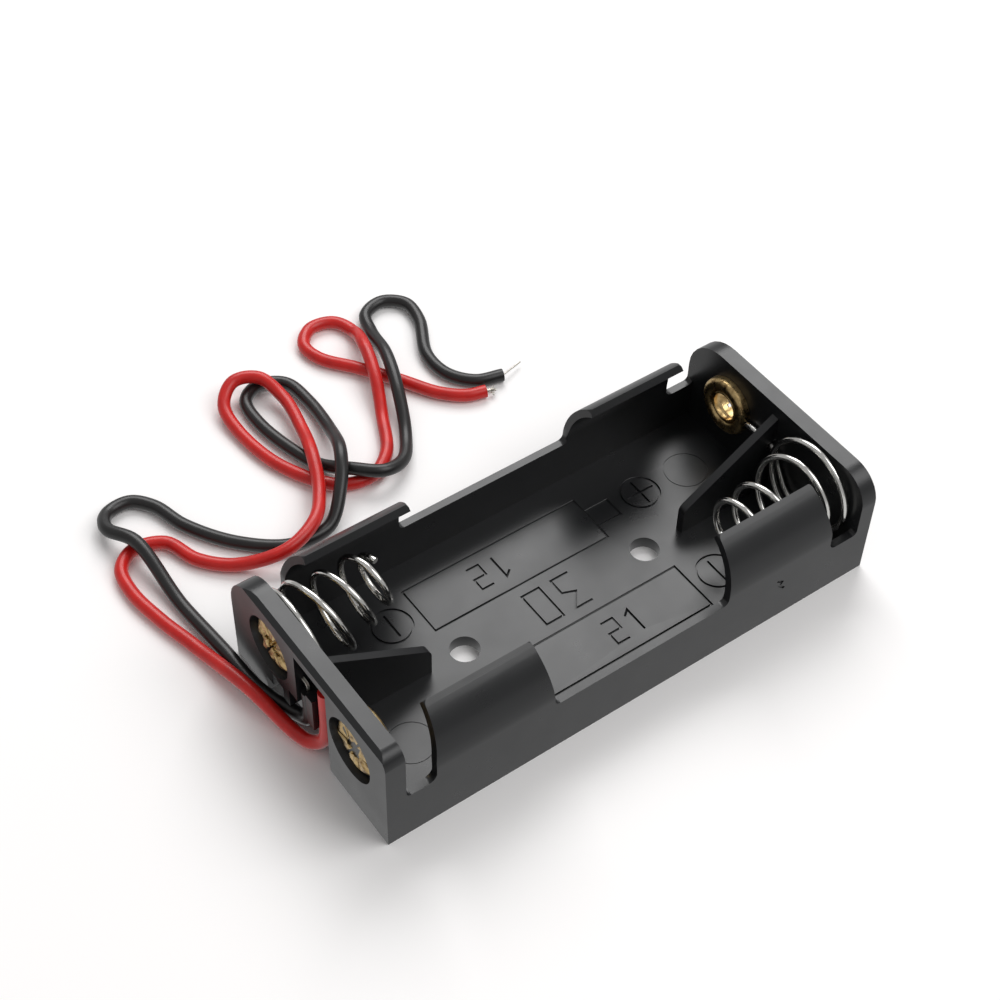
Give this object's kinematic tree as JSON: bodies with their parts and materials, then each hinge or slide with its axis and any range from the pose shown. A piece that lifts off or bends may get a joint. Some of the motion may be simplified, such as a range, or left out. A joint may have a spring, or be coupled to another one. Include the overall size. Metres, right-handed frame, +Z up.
{
  "type": "cylindrical cell holder",
  "caption": "Open moulded holder for cylindrical cells side by side, with arched retaining tabs, coil springs, riveted eyelet contacts, floor screw holes and loose wire leads.",
  "frame": {"origin": "bottom centre of the moulded body", "axes": "+X along the cells, away from the end where the leads leave; +Y across the cells, towards the side where the leads lie; +Z up, out of the open top"},
  "size_m": [0.0573, 0.0554, 0.0121],
  "materials": {
    "moulded_black": "satin",
    "eyelet_brass": "polished",
    "spring_steel": "nickel plated wire",
    "red_insulation": "satin",
    "black_insulation": "satin",
    "tinned_copper": "tinned strands"
  },
  "bodies": {
    "root": {"body": "moulded_black", "negative_eyelet": "eyelet_brass", "positive_eyelet": "eyelet_brass", "bridge_eyelet": "eyelet_brass", "negative_spring": "spring_steel", "bridge_spring": "spring_steel", "red_lead": "red_insulation", "black_lead": "black_insulation", "red_conductor": "tinned_copper", "black_conductor": "tinned_copper"}
  },
  "joints": []
}
